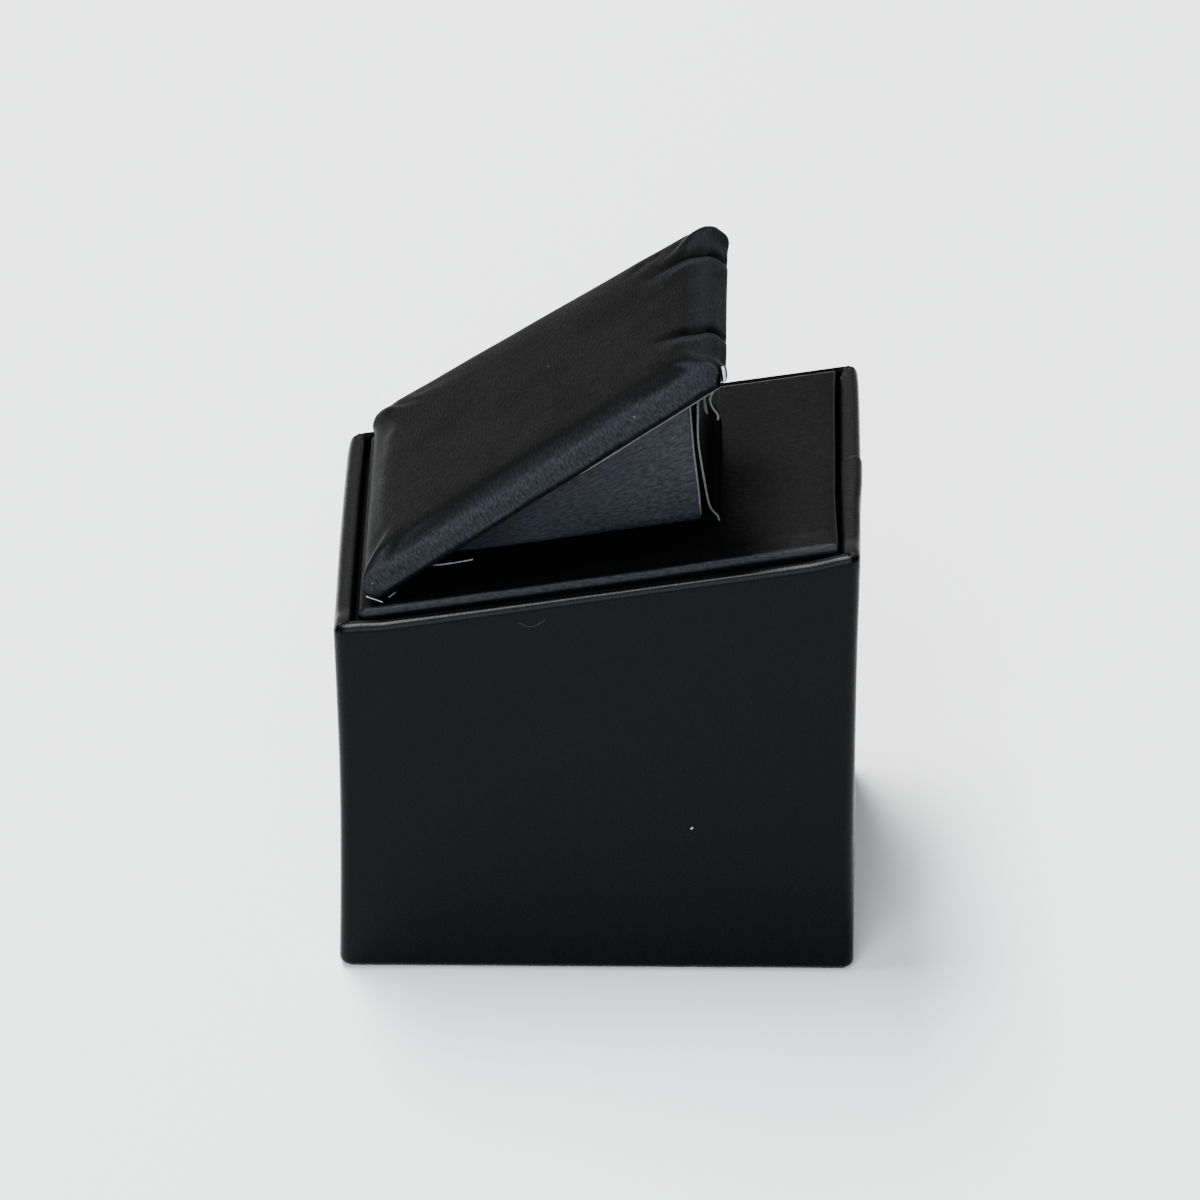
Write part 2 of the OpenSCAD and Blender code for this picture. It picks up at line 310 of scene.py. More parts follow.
class Shade:
    """A node material, with short ways to add and join its nodes."""

    def __init__(self, name):
        self.material = bpy.data.materials.new(name)
        self.material.use_nodes = True
        self.tree = self.material.node_tree
        self.tree.nodes.clear()
        self.shader = self.node("BsdfPrincipled")
        self.node("OutputMaterial", Surface=self.shader.outputs["BSDF"])

    def node(self, kind, **values):
        """A shader node with its named settings or inputs set or joined."""
        made = self.tree.nodes.new("ShaderNode" + kind)
        for key, value in values.items():
            name = key.replace("_", " ")
            if name in made.inputs:
                self.feed(made.inputs[name], value)
            else:
                setattr(made, key, value)
        return made

    def feed(self, socket, value):
        """Joins an output to an input, or sets the input to a number, a vector or a colour."""
        if isinstance(value, bpy.types.NodeSocket):
            self.tree.links.new(value, socket)
        elif socket.type == "RGBA":
            socket.default_value = (*value, 1)
        else:
            socket.default_value = value

    def grain_space(self, seed):
        """The laid grain's coordinates, in dashes and pitches."""
        uv = self.node("UVMap", uv_map="grain").outputs["UV"]
        scale = (1 / DASH, 1 / PITCH, 1)
        laid = self.node("Mapping", Vector=uv, Scale=scale, Location=(seed, seed * 1.7, 0))
        return laid.outputs["Vector"]

    def object_space(self):
        """The object's own coordinates, in metres."""
        return self.node("TexCoord").outputs["Object"]

    def noise(self, vector, scale, detail=2.0, roughness=0.5):
        """A noise texture's value, from 0 to 1."""
        made = self.node("TexNoise", Vector=vector, Scale=scale, Detail=detail, Roughness=roughness)
        return made.outputs["Fac"]

    def math(self, operation, a, b):
        """Adds, multiplies or compares two values, each a number or a socket."""
        made = self.node("Math", operation=operation)
        self.feed(made.inputs[0], a)
        self.feed(made.inputs[1], b)
        return made.outputs["Value"]

    def spread(self, value, low, high, to_low=0.0, to_high=1.0):
        """Maps low to high onto to_low to to_high, and clamps."""
        made = self.node("MapRange", From_Min=low, From_Max=high, To_Min=to_low, To_Max=to_high)
        self.feed(made.inputs["Value"], value)
        return made.outputs["Result"]

    def mix(self, share, a, b):
        """Colours a to b by share; each is a colour or a socket."""
        made = self.node("Mix", data_type="RGBA", Factor=share)
        for value, socket in zip((a, b), [s for s in made.inputs if s.type == "RGBA"]):
            self.feed(socket, value)
        return [s for s in made.outputs if s.type == "RGBA"][0]

    def relief(self, *layers):
        """Bumps on the shader's normal, each a (height, depth in metres) pair."""
        below = {}
        for height, depth in layers:
            made = self.node("Bump", Strength=1.0, Distance=depth, Height=height, **below)
            below = {"Normal": made.outputs["Normal"]}
        self.feed(self.shader.inputs["Normal"], below["Normal"])

    def surface(self, colour, roughness, specular):
        """Sets the shader's colour, roughness and specular level, and returns the material."""
        self.feed(self.shader.inputs["Base Color"], colour)
        self.feed(self.shader.inputs["Roughness"], roughness)
        self.feed(self.shader.inputs["Specular IOR Level"], specular)
        return self.material


def specks(shade, seed):
    """1 on tiny scattered specks of dust, 0 elsewhere."""
    space = shade.node("Mapping", Vector=shade.object_space(), Location=(seed * MM, 0, 0))
    cells = shade.node("TexVoronoi", Vector=space.outputs["Vector"], Scale=1 / DUST_GAP)
    near = shade.spread(cells.outputs["Distance"], *DUST_EDGE, 1, 0)
    pick = shade.node("SeparateColor", Color=cells.outputs["Color"])
    chosen = shade.math("LESS_THAN", pick.outputs[0], DUST_SHARE)
    return shade.math("MULTIPLY", near, chosen)


def grey(value):
    """A neutral colour."""
    return (value, value, value)


def times(share, colour):
    """A colour darkened to a share."""
    return tuple(share * c for c in colour)


def leatherette(name, dark, light, rough, specular, depth, seed, highlit=None):
    """Embossed leatherette: short brushed dashes, fine pores, slow changes of tone and dust. Where a
    piece asks for it, a paler tone with clearer dashes is painted on as highlight, a darker one as shade."""
    shade = Shade("leatherette_" + name)
    space = shade.grain_space(seed)
    dashes = shade.noise(space, 1.0, 2.0, 0.55)
    fine = shade.noise(space, 2.3, 1.0)
    grain = shade.math("ADD", shade.math("MULTIPLY", dashes, 0.7), shade.math("MULTIPLY", fine, 0.3))
    ridge = shade.spread(grain, 0.34, 0.66)
    slow = shade.spread(shade.noise(shade.object_space(), 1 / PATCH, 2.0), 0.3, 0.7)
    pores = shade.noise(shade.object_space(), 1 / PORE, 1.0)
    tone = shade.math("MULTIPLY", ridge, shade.spread(slow, 0, 1, 0.55, 1.0))
    colour = shade.mix(tone, dark, light)
    # Painted highlight: a paler, streaky tone as far as each point's share says
    if highlit:
        attribute = shade.node("Attribute", attribute_name="painted_highlight")
        streaks = shade.mix(shade.spread(ridge, 0.1, 0.9), times(HIGHLIT_STREAK_DARK, highlit), highlit)
        colour = shade.mix(attribute.outputs["Fac"], colour, streaks)
        # Painted shade: a darker tone as far as each point's share says
        painted_shade = shade.node("Attribute", attribute_name="painted_shade")
        colour = shade.mix(painted_shade.outputs["Fac"], colour, times(PAINTED_SHADE_DARK, dark))
    shade.relief((slow, PATCH_DEPTH), (ridge, depth), (pores, depth * 0.25))
    finish = shade.spread(ridge, 0, 1, rough + 0.08, rough - 0.05)
    return shade.surface(shade.mix(specks(shade, seed), colour, DUST), finish, specular)


def plain_stock(name, dark, light, rough, fibre, depth, specular=0.3):
    """Board, paper, felt or wood stock: fibres of one size, with a little relief."""
    shade = Shade(name)
    fibres = shade.noise(shade.object_space(), 1 / fibre, 6.0, 0.7)
    slow = shade.noise(shade.object_space(), 1 / (12 * MM), 2.0)
    tone = shade.spread(shade.math("MULTIPLY", fibres, shade.math("ADD", slow, 0.5)), 0.3, 0.75)
    shade.relief((fibres, depth))
    finish = shade.spread(fibres, 0.2, 0.8, rough - 0.05, rough + 0.08)
    return shade.surface(shade.mix(tone, dark, light), finish, specular)


WRAP_SKIN = leatherette(
    "box", (0.0008, 0.0008, 0.0009), (0.0014, 0.0014, 0.0016), 0.26, 0.055, 0.006 * MM, 1
)
# A darker, low-sheen copy of the box's leatherette for the far rim's top: painted shade
FAR_RIM_SHADED_SKIN = leatherette("far_rim_shaded", grey(0.0005), grey(0.001), 0.5, 0.004, 0.006 * MM, 3)
# Its last colour is the tone of the painted highlight over its edges
INSERT_SKIN = leatherette(
    "insert", grey(0.0006), grey(0.002), 0.32, 0.0155, 0.02 * MM, 5, (0.021, 0.022, 0.0245)
)
RAMP_SKIN = leatherette("ramp", (0.0072, 0.0078, 0.0086), (0.032, 0.0345, 0.04), 0.42, 0.1, 0.035 * MM, 9)
STRAP_SKIN = leatherette("strap", grey(0.0003), (0.0008, 0.0008, 0.0009), 0.6, 0.01, 0.012 * MM, 11)
# Its last colour is the tone of the painted highlight over its edges and pleats' crests
PAD_SKIN = leatherette(
    "pad", grey(0.0023), grey(0.006), 0.34, 0.004, 0.03 * MM, 13, (0.021, 0.0225, 0.025)
)
CUT_EDGE = plain_stock("cut_edge", grey(0.03), (0.13, 0.13, 0.125), 0.8, 0.2 * MM, 0.01 * MM)
PALE_EDGE = plain_stock("pale_edge", grey(0.08), (0.45, 0.45, 0.44), 0.8, 0.35 * MM, 0.01 * MM)
STRAP_EDGE = plain_stock("strap_edge", (0.03, 0.03, 0.028), (0.11, 0.105, 0.095), 0.8, 0.3 * MM, 0.01 * MM)
# Black card, darker and duller than BLACK_CARD: painted shade in the slot round the insert
SHADED_COLLAR_CARD = plain_stock("collar_card_shaded", grey(0.0015), grey(0.004), 0.9, 0.25 * MM, 0.008 * MM, 0.03)
GREYBOARD = plain_stock("greyboard", (0.14, 0.125, 0.11), (0.27, 0.25, 0.22), 0.85, 0.5 * MM, 0.02 * MM)
BLACK_CARD = plain_stock("black_card", grey(0.008), (0.022, 0.022, 0.021), 0.7, 0.25 * MM, 0.008 * MM)
TAPE = plain_stock("kraft_tape", (0.22, 0.14, 0.07), (0.42, 0.28, 0.15), 0.75, 0.4 * MM, 0.008 * MM)
FELT = plain_stock("felt", (0.004, 0.004, 0.005), (0.022, 0.022, 0.024), 0.95, 0.3 * MM, 0.08 * MM)
WOOD = plain_stock("ramp_wood", (0.3, 0.19, 0.1), (0.5, 0.36, 0.21), 0.7, 1.5 * MM, 0.02 * MM)

# -------- the box's wrap

CORNER_R = 1.6 * MM
FOOT_R = 0.8 * MM
RIM_OUT_R = 0.95 * MM
RIM_IN_R = 0.35 * MM
TURN_DOWN = 13.6 * MM
TURN_UNDER = 9 * MM
CORNER_STEPS = 12
EDGE_STEPS = 44
# Where the wrap's overlapped end lies on the back wall, and how far it stands out and up
LAP_EDGE, LAP_REACH, LAP_H, LAP_RISE = -0.3 * MM, 11 * MM, 0.2 * MM, 0.13 * MM
LAP_STEPS = [LAP_EDGE + d * MM for d in (-0.4, -0.12, 0.0, 0.12, 0.4)]
# How far the walls draw in half way up: the long ones, the low end and the high end
SIDE_IN, LOW_END_IN, HIGH_END_IN = 0.12 * MM, 0.25 * MM, 0.17 * MM
# How far the skin may draw in before it meets the boards
MOST_IN = 0.27 * MM
# The share of the wall's height above which it takes part in the rim's folds
RIM_SHARE = 0.94
# The rim's folded corners stand up on the near side, and a mitre line crosses each
FOLD_H = 0.4 * MM
FOLD_REACH = 4.5 * MM
MITRE_DEPTH = 0.2 * MM


def wrap_profile():
    """The wrap's section as (inset, share of the wall's height, offset) points: under the foot,
    up the outside, over the rim and down the inside, then back along its hidden face."""
    under = [(x, 0, 0) for x in np.linspace(TURN_UNDER, FOOT_R, 8)[:-1]]
    foot = [(x, 0, z) for x, z in arc((FOOT_R, FOOT_R), FOOT_R, 270, 180, 6)]
    face = [(0, t, (1 - t) * FOOT_R - t * RIM_OUT_R) for t in np.linspace(0, 1, 36)[1:-1]]
    over = [(x, 1, z) for x, z in arc((RIM_OUT_R, -RIM_OUT_R), RIM_OUT_R, 180, 90, 9)]
    inner = [(x, 1, z) for x, z in arc((RIM_T - RIM_IN_R, -RIM_IN_R), RIM_IN_R, 90, 0, 6)]
    down = [(RIM_T, 1, -RIM_IN_R - (TURN_DOWN - RIM_IN_R) * t**1.8) for t in np.linspace(0, 1, 14)[1:]]
    lid = SKIN / cos(RIM_TILT)
    hidden = [
        (RIM_T - SKIN, 1, -TURN_DOWN),
        (RIM_T - SKIN, 1, -lid),
        (SKIN, 1, -lid),
        (SKIN, 0, SKIN),
        (TURN_UNDER, 0, SKIN),
    ]
    return under + foot + face + over + inner + down + hidden


def plan_ring(inset):
    """The body's plan at an inset: (x, y, distance from the nearest corner, angle across it)."""
    r = max(CORNER_R - inset, 0.12 * MM)
    steps = (CORNER_STEPS, EDGE_STEPS, EDGE_STEPS)
    return rounded_plan(HALF_W - inset - r, HALF_L - inset - r, r, steps, LAP_STEPS)


def lap_stand(x):
    """How much of the lap's thickness stands out at a place across the back wall."""
    behind = ramp_up(x, LAP_EDGE - 0.13 * MM, LAP_EDGE + 0.13 * MM)
    return behind * (1 - ramp_up(x, LAP_EDGE + 4 * MM, LAP_EDGE + LAP_REACH))


def wall_stand(x, y, share):
    """How far the skin stands out from the wall boards' plane at a place on the body, first
    across and then along: the walls draw in between rim and foot, and the lap stands out."""
    middle = sin(pi * share)
    side = -SIDE_IN * middle + 0.06 * MM * share**8
    if y < 0:
        end = -LOW_END_IN * middle**1.3 + 0.14 * MM * share**6 + 0.1 * MM * (1 - share) ** 8
    else:
        end = -HIGH_END_IN * middle + 0.16 * MM * share**5 - 0.1 * MM * (1 - share) ** 2
        end += lap_stand(x) * LAP_H
    end += 0.14 * MM * share**3 * bump(x, 30 * MM)
    far = max(0.0, 1 - (x + HALF_W) / (6 * MM))
    end -= 0.25 * MM * far**2 * share**3
    return side, end


def on_wall(at, half, inset):
    """1 on the stretch of the plan that runs along the wall at half, 0 on the others."""
    return ramp_up(at, half - inset - 0.6 * MM, half - inset - 0.05 * MM)


def shaped_wall(x, y, share, inset, offset, near, across):
    """Where a point of the plan lies once the walls have their shape, and how much it rises.
    The outer face alone draws in: the face on the boards stays flat, so that none shows."""
    outer = 1 - ramp_up(inset, RIM_T - 0.2 * MM, RIM_T)
    if abs(inset - SKIN) < 0.001 * MM:
        outer = 0.0
    flat = x
    side, end = wall_stand(x, y, min(max(share, 0.0), 1.0))
    loose = 0.05 * MM * wander((x, y, share * 0.05), 9 * MM, 3)
    side, end = (max(v + loose, -MOST_IN) * outer for v in (side, end))
    corner = bump(near, FOLD_REACH) * ramp_up(share, RIM_SHARE, 1.0)
    rise = FOLD_H * corner if x > 0 else 0.0
    if across < 90:
        rise += 0.1 * MM * bump(across - 16, 16) - MITRE_DEPTH * bump(across, 9)
    on_back = on_wall(y, HALF_L, inset)
    rise += on_back * lap_stand(flat) * LAP_RISE
    bow = 1 - ((inset - RIM_T / 2) / (RIM_T / 2)) ** 2 if share == 1 else 0.0
    x -= on_back * 0.7 * MM * max(bow, 0) * bump(flat - LAP_EDGE, 4 * MM)
    inner = ramp_up(inset, RIM_T - RIM_IN_R, RIM_T) * (1 - ramp_up(-offset, 1.7 * MM, 2.5 * MM))
    y -= on_back * inner * (0.32 - 0.2 * ramp_up(flat, 8 * MM, HALF_W)) * MM
    y += on_wall(-y, HALF_L, inset) * inner * 0.05 * MM
    x += on_wall(flat, HALF_W, inset) * inner * 0.28 * MM
    on_far = on_wall(-flat, HALF_W, inset)
    x -= on_far * inner * 0.2 * MM
    rise -= on_far * ramp_up(inset, 0.5 * RIM_T, RIM_T) * 0.2 * MM
    return x + side * x / HALF_W, y + end * y / HALF_L, rise


def on_far_rim(x, y, z):
    """Whether a place is on top of the far rim, which takes a darker, low-sheen copy of the box's
    leatherette as painted shade.
    """
    inside = x < -HALF_W + RIM_T + 0.5 * MM and abs(y) < HALF_L - 2 * MM
    return inside and z > rim_z(y) - 1.2 * MM


def box_wrap():
    """The leatherette over the walls, rim and foot, as one closed skin."""
    rings = []
    for inset, share, offset in wrap_profile():
        ring = []
        for x0, y0, near, across in plan_ring(inset):
            x, y, rise = shaped_wall(x0, y0, share, inset, offset, near, across)
            top = ramp_up(share, RIM_SHARE, 1.0) * (1 - ramp_up(-offset, TURN_DOWN / 2, TURN_DOWN))
            z = BOTTOM + share * (rim_z(y) - BOTTOM) + offset + rise * top
            ring.append((x, y, z))
        rings.append(ring)
    obj = ringed("box_wrap", rings, True, WRAP_SKIN, FAR_RIM_SHADED_SKIN, ends=False)
    # The far rim's top takes the darker, low-sheen copy: painted shade
    for polygon in obj.data.polygons:
        polygon.material_index = int(on_far_rim(*polygon.center))
    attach(obj, "box")
    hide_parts("outer_wrap")
    return obj


# -------- the insert

INSERT = tilted(points_of("insert_wrap"), RIM_TILT)
INSERT_LOW, INSERT_HIGH = INSERT.min(0), INSERT.max(0)
INSERT_R = 1.1 * MM
INSERT_CROWN = 0.15 * MM
# How far in from its edges the insert's top is soft
INSERT_SOFT = 6 * MM


def insert_pad():
    """The insert's thin foam under its leatherette: nearly flat, with soft edges and corners
    that stick out a little, where the leatherette is folded."""
    size = INSERT_HIGH - INSERT_LOW
    points, faces = round_block(size[0], size[0], size[1], size[2], INSERT_R, 1.2 * MM)
    for p in points:
        side_way, end_way = size[0] / 2 - abs(p[0]), min(p[1], size[1] - p[1])
        edge = min(side_way, end_way)
        corner = bump(side_way, INSERT_SOFT) * bump(end_way, INSERT_SOFT)
        top = ramp_up(p[2], size[2] * 0.45, size[2])
        crown = INSERT_CROWN * ramp_up(edge, 0, INSERT_SOFT)
        p[2] += top * (crown + 0.06 * MM * wander(p, 8 * MM, 7))
        near_high = ramp_up(p[1], size[1] * 0.6, size[1]) * ramp_up(p[0], 0, size[0] / 2)
        p[2] += top * 0.2 * MM * near_high
        p[2] -= top * 0.1 * MM * bump(size[0] / 2 - p[0] - 2.0 * MM, 0.9 * MM)
        slack = 0.09 * MM * wander(p, 6 * MM, 8) * (1 - ramp_up(edge, 0, 2 * MM))
        p[0] += copysign(slack, p[0])
        p[1] += 0.42 * MM * bump(p[1], 12 * MM)
        back_way = size[1] - p[1]
        if back_way < size[1] / 2:
            near = size[0] / 2 - p[0]
            p[1] += 0.85 * back_way * bump(back_way, 3 * MM) + 0.1 * MM * corner
            p[1] += (0.24 * bump(near, 15 * MM) + 0.1) * MM * bump(back_way, 12 * MM)
    world = untilted(points + np.array([0, INSERT_LOW[1], INSERT_LOW[2]]), RIM_TILT)
    obj = piece("insert_pad", world, faces, INSERT_SKIN)
    lay_grain(obj, RIM_TILT, turn=True)

    def painted_highlight(n):
        """How much painted highlight the skin gets where its normal is n: most over the side edges."""
        edge = max(ramp_up(abs(n[0]), 0.25, 0.5), 0.6 * ramp_up(n[1], 0.2, 0.5))
        return edge * ramp_up(n[2], 0.3, 0.55)

    # A paler, streaky tone painted on as highlight over the edges that face up
    lay_shares(obj, "painted_highlight", [painted_highlight(n) for n in normals_of(obj, RIM_TILT)])
    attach(obj, "insert")
    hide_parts("insert_wrap", "insert_foam")
    return obj


INSERT_TOP = INSERT_HIGH[2] / cos(RIM_TILT)


def insert_z(y):
    """Height of the insert's top at a place along the body."""
    return INSERT_TOP + y * tan(RIM_TILT)


# -------- the ramp and its strap

RAMP_LOW, RAMP_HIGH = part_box("ramp_wrap")
STRAP_LOW, STRAP_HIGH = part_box("ramp_strap")
PAD_SHEET = tilted(points_of("pad_backing"), PAD_TILT)
PAD_SHEET_UNDER = PAD_SHEET[:, 2].min() / cos(PAD_TILT)
# How far the ramp's back leans forward, and the radius of its upright edges
RAMP_LEAN, RAMP_R = 1.7 * MM, 0.45 * MM
RAMP_STEPS = (6, 12, 44)
# Where its foot is pressed out flat, along the body and out from the middle
FLANGE_FROM, FLANGE_TO, FLANGE_OUT = -20.2 * MM, -15.2 * MM, 13.8 * MM
# The strap: its thickness and how many steps its path and its width have
STRAP_T, STRAP_STEPS, STRAP_ACROSS = 0.24 * MM, 64, 30


def backing_z(y):
    """Height of the pad backing's underside at a place along the body."""
    return PAD_SHEET_UNDER + y * tan(PAD_TILT)


def ramp_ring(inset, share):
    """One ring of the ramp's covering, at a share of its height. It leans forward with height,
    and on its outer face the covering bulges and creases a little."""
    r = max(RAMP_R - inset, 0.1 * MM)
    x1 = RAMP_HIGH.x - inset
    y0, y1 = RAMP_LOW.y + inset, RAMP_HIGH.y - inset
    ring = []
    for x, y, _, _ in rounded_plan(x1 - r, (y1 - y0) / 2 - r, r, RAMP_STEPS):
        y += (y0 + y1) / 2
        back = (y - y0) / (y1 - y0)
        y_at = y - RAMP_LEAN * share * back
        low, high = insert_z(y_at), backing_z(y_at)
        z = low + 0.02 * MM + share * (high - low - 0.06 * MM)
        tall = (high - low) / (13 * MM)
        bulge = 0.22 * MM * sin(pi * share) * sin(pi * min(back * 1.1, 1)) * tall
        bulge += 0.07 * MM * wander((x, y_at, z), 5 * MM, 21)
        fold = 0.14 * MM * bump(y - (y1 - 1.5 * MM), 0.5 * MM)
        if inset == 0 and abs(x) > x1 - r:
            x += copysign(bulge - fold, x)
        ring.append((x, y_at, z))
    return ring


def ramp_cover():
    """The leatherette round the ramp, a sleeve that is open under the pad."""
    outer = [ramp_ring(0, s) for s in np.linspace(0, 1, 15)]
    inner = [ramp_ring(SKIN, s) for s in np.linspace(1, 0, 4)]
    obj = ringed("ramp_cover", outer + inner, False, RAMP_SKIN, ends=False)
    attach(obj, "insert")
    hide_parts("ramp_wrap")
    return obj


def strip(name, path, half_w, skin, shift):
    """A thin strip of leatherette along a path of (y, z) points, with cut edges. shift(x, i)
    is how far point i of the path moves along the body at a place across the strip."""
    path = np.array(path)
    way = np.gradient(path, axis=0)
    way /= np.linalg.norm(way, axis=1)[:, None]
    left = np.stack([-way[:, 1], way[:, 0]], axis=1)
    rows, n = [], len(path)
    for x in np.linspace(-half_w, half_w, STRAP_ACROSS):
        moved = path + np.array([(shift(x, i), 0) for i in range(n)])
        under = moved - left * STRAP_T
        rows.append([(x, y, z) for y, z in moved] + [(x, y, z) for y, z in under[::-1]])
    obj = ringed(name, rows, True, skin, STRAP_EDGE)
    count = 2 * n
    for polygon in obj.data.polygons:
        places = {v % count for v in polygon.vertices}
        if len(polygon.vertices) > 4 or places <= {0, count - 1} or places <= {n - 1, n}:
            polygon.material_index = 1
            polygon.use_smooth = False
    return obj


def smooth_path(points, steps):
    """A path through rough points, rounded off and evenly spaced."""
    p = np.array(points, float)
    for _ in range(3):
        q = [p[0]]
        for a, b in zip(p[:-1], p[1:]):
            q += [0.75 * a + 0.25 * b, 0.25 * a + 0.75 * b]
        p = np.array(q + [p[-1]])
    way = np.concatenate([[0], np.cumsum(np.linalg.norm(np.diff(p, axis=0), axis=1))])
    at = np.linspace(0, way[-1], steps)
    return np.stack([np.interp(at, way, p[:, 0]), np.interp(at, way, p[:, 1])], axis=1)


def ramp_strap():
    """The strap behind the ramp: a flared foot on the insert, up to the pad, along under it,
    and a free end that curls down."""
    toe, foot = STRAP_HIGH.y - 0.55 * MM, RAMP_HIGH.y
    top = foot - 0.65 * MM
    end = foot + 2.4 * MM
    lip, nose = top + 0.5 * MM, end - 0.5 * MM
    lower = [(toe, 0.1, 0.02), (toe, -0.05, 0.95), (foot, 1.3, 1.35), (foot, 0.75, 2.3)]
    lower += [(foot, 0.4, 4.2), (foot, -0.3, 8.7), (foot, -0.68, 11.6)]
    upper = [(top, 0, -3.5), (top, 0, -0.8), (lip, 0, -0.42), (nose, 0, -0.42)]
    upper += [(end, -0.1, -1.0), (end, -0.9, -2.6), (end, -1.45, -3.7)]
    upper += [(end, -1.1, -4.9), (end, -0.3, -5.9), (end, -0.4, -6.7)]
    path = [(y + dy * MM, insert_z(toe) + dz * MM) for y, dy, dz in lower]
    path += [(y + dy * MM, backing_z(y) + dz * MM) for y, dy, dz in upper]
    path = smooth_path(path, STRAP_STEPS)
    half_w = (STRAP_HIGH.x - STRAP_LOW.x) / 2

    def shift(x, i):
        """The strap's slack, its foot's flare and its free end's curl, at a point."""
        t = i / (STRAP_STEPS - 1)
        inside = ramp_up(half_w - x, 0.3 * MM, 4 * MM)
        loose = 0.1 * MM * wander((x, t * 0.02, 0), 6 * MM, 31) * ramp_up(t, 0, 0.15) * inside
        flare = 0.22 * MM * (1 - ramp_up(t, 0, 0.1)) * wander((x, 0, 0), 4 * MM, 33) * inside
        curl = 0.3 * MM * ramp_up(t, 0.75, 1) * wander((x, 0.1, 0), 5 * MM, 35) * inside
        return loose + flare + curl

    obj = strip("ramp_strap_skin", path, half_w, STRAP_SKIN, shift)
    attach(obj, "insert")
    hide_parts("ramp_strap")
    return obj


# -------- the display pad

PAD = tilted(points_of("pad_wrap"), PAD_TILT)
PAD_LOW, PAD_HIGH = PAD.min(0), PAD.max(0)
PAD_LENGTH = PAD_HIGH[1] - PAD_LOW[1]
PAD_LOW_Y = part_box("pad_wrap")[0].y
PAD_T = PAD_HIGH[2] - PAD_LOW[2]
PAD_R = 2.2 * MM
# The cloth is simulated this much larger than life, over this many frames
CLOTH_SCALE, CLOTH_FRAMES = 10, 20
# The crests of the pleats at the pad's high edge: (distance from the edge, place across) along
# each, how far behind it its valley lies, how much that grows, and how far the pleat reaches
PLEATS = (
    (((0, -9.3), (3.4, -9.8), (9.4, -9.1), (16, -9.4)), 1.3 * MM, 0.1, 12 * MM),
    (((0, 9.9), (2, 10.1), (3.4, 9.8), (9.5, 7.1), (14, 5.4)), 1.2 * MM, 0.02, 9.5 * MM),
)


def pad_half_width(along):
    """Half the pad's width at a place up its slope, from its low end."""
    inset = PAD_SHEET[:, 1].min() - PAD_LOW[1]
    middle = PAD_SHEET[:, 1].mean()
    low = PAD_SHEET[PAD_SHEET[:, 1] < middle, 0].max() + inset
    high = PAD_SHEET[PAD_SHEET[:, 1] > middle, 0].max() + inset
    return low + (high - low) * along / PAD_LENGTH


def only(obj):
    """Makes one object the selected and active one."""
    for other in bpy.context.selected_objects:
        other.select_set(False)
    obj.select_set(True)
    bpy.context.view_layer.objects.active = obj


def puff(points, faces, voxel, pressure, cap, low_share):
    """Swells a soft shape by cloth simulation at a larger scale, with its underside held, and
    returns the new points and faces. No point moves more than cap."""
    mesh = bpy.data.meshes.new("puff")
    mesh.from_pydata([tuple(p * CLOTH_SCALE) for p in points], [], faces)
    obj = bpy.data.objects.new("puff", mesh)
    bpy.context.scene.collection.objects.link(obj)
    outward(obj)
    only(obj)
    remesh = obj.modifiers.new("remesh", "REMESH")
    remesh.mode, remesh.voxel_size = "VOXEL", voxel * CLOTH_SCALE
    bpy.ops.object.modifier_apply(modifier="remesh")
    start = np.array([v.co for v in obj.data.vertices])
    height = start[:, 2].max()
    held = obj.vertex_groups.new(name="held")
    for i, p in enumerate(start):
        held.add([i], 1.0 - ramp_up(p[2], 0.06 * height, low_share * height), "REPLACE")
    cloth = obj.modifiers.new("cloth", "CLOTH")
    settings = cloth.settings
    settings.vertex_group_mass = "held"
    settings.use_pressure = True
    settings.uniform_pressure_force = pressure
    settings.effector_weights.gravity = 0
    settings.quality = 5
    settings.tension_stiffness = settings.compression_stiffness = 40
    settings.bending_stiffness = 6
    cloth.point_cache.frame_start, cloth.point_cache.frame_end = 1, CLOTH_FRAMES
    for step in range(1, CLOTH_FRAMES + 1):
        bpy.context.scene.frame_set(step)
    bpy.ops.object.modifier_apply(modifier="cloth")
    end = np.array([v.co for v in obj.data.vertices])
    move = end - start
    size = np.linalg.norm(move, axis=1, keepdims=True)
    limit = cap * CLOTH_SCALE
    end = start + move * np.where(size > limit, limit / np.maximum(size, 1e-9), 1)
    new_faces = [tuple(p.vertices) for p in obj.data.polygons]
    bpy.data.objects.remove(obj)
    bpy.context.scene.frame_set(1)
    return end / CLOTH_SCALE, new_faces


def pleat_height(d, back, strength):
    """A pleat's height at a distance d in front of its crest: it falls away slowly in front,
    and steeply into a valley behind."""
    if d > 0:
        return strength * 0.2 * MM * bump(d, 5 * MM)
    drop = ramp_up(-d, 0, 0.8 * back)
    beyond = max(-d - 0.8 * back, 0)
    return strength * MM * (0.2 * (1 - drop) - 0.34 * drop * bump(beyond, 1.2 * back))


def pleats_at(x, along, up):
    """For each pleat at a place on the pad: the distance in front of its crest, how far behind
    the crest its valley lies, and the pleat's strength."""
    from_end = PAD_LENGTH - along
    for crest, back, spread, reach in PLEATS:
        at, places = zip(*crest)
        line = float(np.interp(from_end / MM, at, places)) * MM
        fade = 1 - ramp_up(from_end, 0.25 * reach, reach)
        strength = fade * ramp_up(up, 0.05 * PAD_T, 0.7 * PAD_T)
        yield x - line, back + spread * max(from_end, 0), strength


